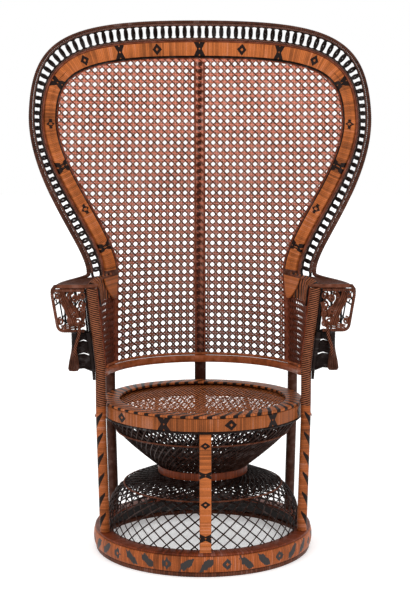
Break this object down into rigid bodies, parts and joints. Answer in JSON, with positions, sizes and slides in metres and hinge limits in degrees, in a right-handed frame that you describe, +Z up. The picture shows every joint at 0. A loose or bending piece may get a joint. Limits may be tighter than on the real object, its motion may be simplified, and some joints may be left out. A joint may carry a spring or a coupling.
{
  "type": "peacock chair",
  "caption": "High fan-backed wicker chair with a round seat on an hourglass lattice base, flared arms with scrolled ends, and an open looped border round the back.",
  "frame": {"origin": "on the floor, under the middle of the chair's bounding box", "axes": "+Z up; -Y is the front, the way the sitter faces; +X is to the right in a view from the front"},
  "size_m": [1.0046, 0.7158, 1.5],
  "materials": {
    "honey_cane": "honey-orange cane wrapped closely round a frame, satin varnish",
    "red_cane": "red-brown woven cane, satin varnish",
    "brown_reed": "brown stained reed and rope-laid cane",
    "dark_reed": "near-black brown stained reed"
  },
  "bodies": {
    "root": {"foot_hoop": "brown_reed", "base_band": "honey_cane", "base_ledge": "red_cane", "dome_lattice": "dark_reed", "waist_band": "red_cane", "bowl_lattice": "dark_reed", "dome_hoop": "brown_reed", "bowl_hoop": "brown_reed", "seat_rim": "honey_cane", "seat_drum": "honey_cane", "seat_lower_hoop": "dark_reed", "seat_cover_hoop": "brown_reed", "seat_support_hoop": "brown_reed", "seat_panel": "red_cane", "seat_bearer_1": "brown_reed", "seat_bearer_2": "brown_reed", "seat_bearer_3": "brown_reed", "front_post_right": "honey_cane", "front_post_left": "honey_cane", "rear_post_right": "honey_cane", "rear_post_left": "honey_cane", "post_lashing_right": "brown_reed", "post_lashing_left": "brown_reed", "front_centre_post": "honey_cane", "spine_post": "red_cane", "spine_strip": "dark_reed", "back_rail": "honey_cane", "back_sheet": "red_cane", "back_band": "honey_cane", "inner_bead": "dark_reed", "outer_bead": "dark_reed", "rim_hoop": "brown_reed", "loop_border": "dark_reed", "wing_panel_right": "red_cane", "wing_panel_left": "red_cane", "wing_stakes_right": "brown_reed", "wing_stakes_left": "brown_reed", "arm_end_hoop_right": "brown_reed", "arm_end_hoop_left": "brown_reed", "arm_rest_right": "dark_reed", "arm_rest_left": "dark_reed", "arm_inner_rail_right": "brown_reed", "arm_inner_rail_left": "brown_reed", "arm_outer_rail_right": "brown_reed", "arm_outer_rail_left": "brown_reed", "arm_top_right": "brown_reed", "arm_top_left": "brown_reed", "arm_scroll_right": "dark_reed", "arm_scroll_left": "dark_reed", "arm_corbel_right": "dark_reed", "arm_corbel_left": "dark_reed", "arm_brace_right": "dark_reed", "arm_brace_left": "dark_reed"}
  },
  "joints": []
}
